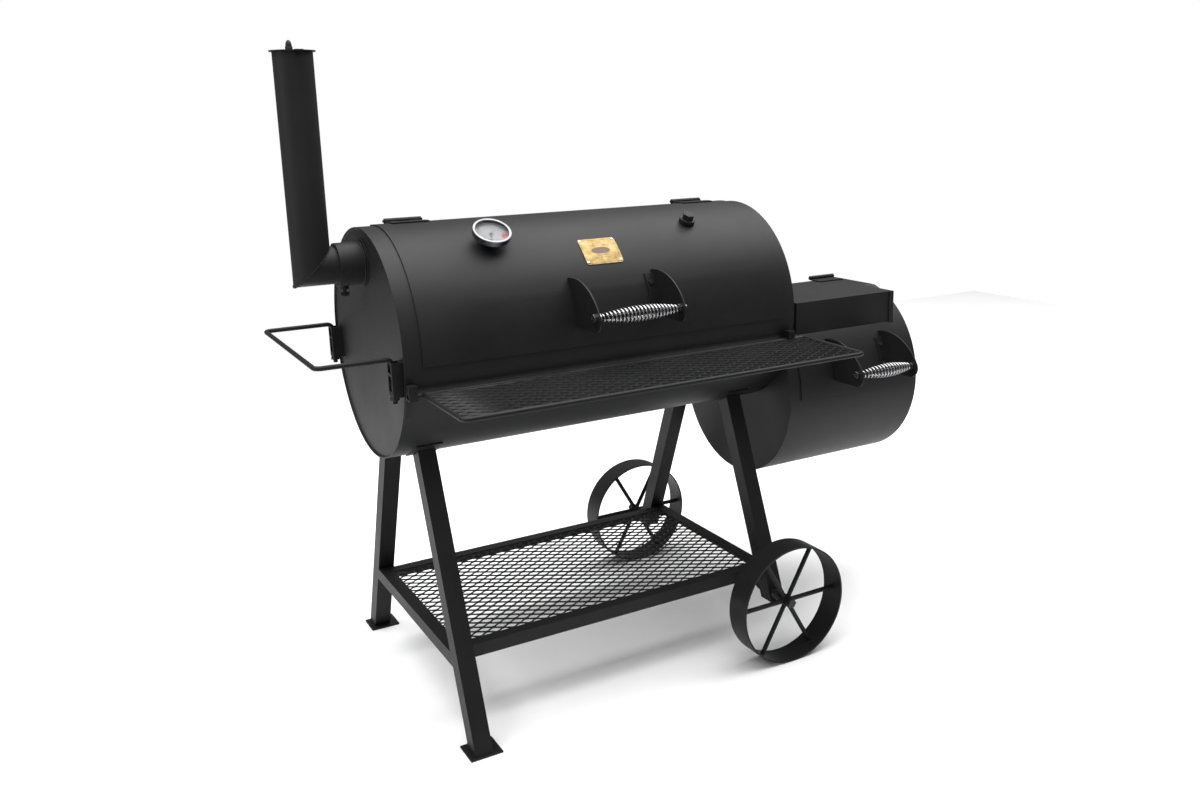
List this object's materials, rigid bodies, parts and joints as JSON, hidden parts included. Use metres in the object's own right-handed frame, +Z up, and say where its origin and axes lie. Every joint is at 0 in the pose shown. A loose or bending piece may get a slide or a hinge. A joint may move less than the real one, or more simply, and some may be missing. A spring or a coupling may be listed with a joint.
{
  "type": "offset smoker",
  "caption": "Steel offset smoker: long barrel cook chamber with front shelf, lower firebox, mitred stack, splayed legs, mesh shelf and band wheels.",
  "frame": {"origin": "middle of the floor rectangle under the whole object", "axes": "+X along the barrels towards the firebox, -Y to the front with the shelf and handles, +Z up"},
  "size_m": [1.5936, 0.8914, 1.472],
  "materials": {
    "paint": "satin-matt black high-temperature paint",
    "mesh_paint": "matt black paint on expanded steel",
    "bolt_black": "black oxide fasteners",
    "chrome": "bright chromed coil grips",
    "zinc": "zinc-plated nuts and rods",
    "badge_brass": "brushed brass plate",
    "bezel": "polished stainless case",
    "dial": "printed white dial",
    "needle": "black needle",
    "lens": "clear glass",
    "grate": "seasoned black steel bars"
  },
  "bodies": {
    "frame": {"chamber_shell": "paint", "chamber_end_left": "paint", "chamber_end_right": "paint", "joint_flange": "paint", "firebox_shell": "paint", "firebox_end_left": "paint", "firebox_end_right": "paint", "hinge_fixed_leaves": "paint", "smokestack": "paint", "flue_collar": "paint", "cap_pivot_tab": "paint", "leg_front_left": "paint", "leg_rear_left": "paint", "leg_front_right": "paint", "leg_rear_right": "paint", "leg_saddles": "paint", "foot_plates": "paint", "lower_shelf_frame": "paint", "front_shelf_frame": "paint", "front_shelf_brackets": "paint", "tow_handle": "paint", "tow_handle_brackets": "paint", "grate_ledges": "paint", "lower_shelf_mesh": "mesh_paint", "front_shelf_mesh": "mesh_paint", "cap_bolt": "bolt_black", "frame_bolts": "bolt_black", "axle_bolts": "bolt_black", "hinge_pins": "bolt_black", "cooking_grates": "grate", "charcoal_grate": "grate"},
    "lid": {"lid_skin": "paint", "lid_handle_brackets": "paint", "lid_handle_rod": "zinc", "lid_handle_spring": "chrome", "lid_handle_fasteners": "zinc", "badge": "badge_brass", "badge_rivets": "zinc", "port_plug": "paint", "gauge_stem": "zinc", "gauge_case": "bezel", "gauge_dial": "dial", "gauge_lens": "lens", "lid_hinge_leaves": "paint"},
    "needle": {"gauge_needle": "needle"},
    "firebox_lid": {"firebox_lid_skin": "paint", "firebox_lid_box": "paint", "firebox_handle_brackets": "paint", "firebox_handle_rod": "zinc", "firebox_handle_spring": "chrome", "firebox_handle_fasteners": "zinc", "firebox_lid_hinge_leaves": "paint"},
    "door": {"fire_door": "paint", "fire_door_hinge_straps": "paint"},
    "latch": {"fire_door_latch": "paint"},
    "damper": {"air_damper": "paint"},
    "cap": {"stack_cap": "paint"},
    "collar_screw": {"thumb_screw": "bolt_black"},
    "front_wheel": {"wheel_front": "paint"},
    "rear_wheel": {"wheel_rear": "paint"}
  },
  "joints": [
    {"name": "lid_hinge", "type": "hinge", "parent": "frame", "child": "lid", "pos_m": [-0.1318, 0.09395, 1.0922], "axis": [-1, 0, 0], "range_deg": [0, 85]},
    {"name": "firebox_lid_hinge", "type": "hinge", "parent": "frame", "child": "firebox_lid", "pos_m": [0.5807, 0.12375, 0.8471], "axis": [-1, 0, 0], "range_deg": [0, 80]},
    {"name": "fire_door_hinge", "type": "hinge", "parent": "frame", "child": "door", "pos_m": [0.7882, 0.17675, 0.53], "axis": [0, 0, 1], "range_deg": [0, 110]},
    {"name": "latch_pivot", "type": "hinge", "parent": "door", "child": "latch", "pos_m": [0.7852, -0.05625, 0.535], "axis": [1, 0, 0], "range_deg": [0, 90]},
    {"name": "damper_pivot", "type": "hinge", "parent": "door", "child": "damper", "pos_m": [0.7852, 0.04375, 0.5], "axis": [1, 0, 0], "range_deg": [0, 60]},
    {"name": "stack_cap_pivot", "type": "hinge", "parent": "frame", "child": "cap", "pos_m": [-0.7278, 0.06975, 1.448], "axis": [0, 0, 1], "range_deg": [0, 170]},
    {"name": "collar_screw_turn", "type": "hinge", "parent": "frame", "child": "collar_screw", "pos_m": [-0.6628, 0.04375, 0.958], "axis": [0, 0, 1], "range_deg": [0, 360]},
    {"name": "needle_pivot", "type": "hinge", "parent": "lid", "child": "needle", "pos_m": [-0.3808, -0.10617, 1.07024], "axis": [0, 0.5358, -0.8443], "range_deg": [0, 270]},
    {"name": "front_wheel_spin", "type": "hinge", "parent": "frame", "child": "front_wheel", "pos_m": [0.2522, -0.32425, 0.1475], "axis": [0, 1, 0], "continuous": true},
    {"name": "rear_wheel_spin", "type": "hinge", "parent": "frame", "child": "rear_wheel", "pos_m": [0.2522, 0.41175, 0.1475], "axis": [0, 1, 0], "continuous": true}
  ]
}
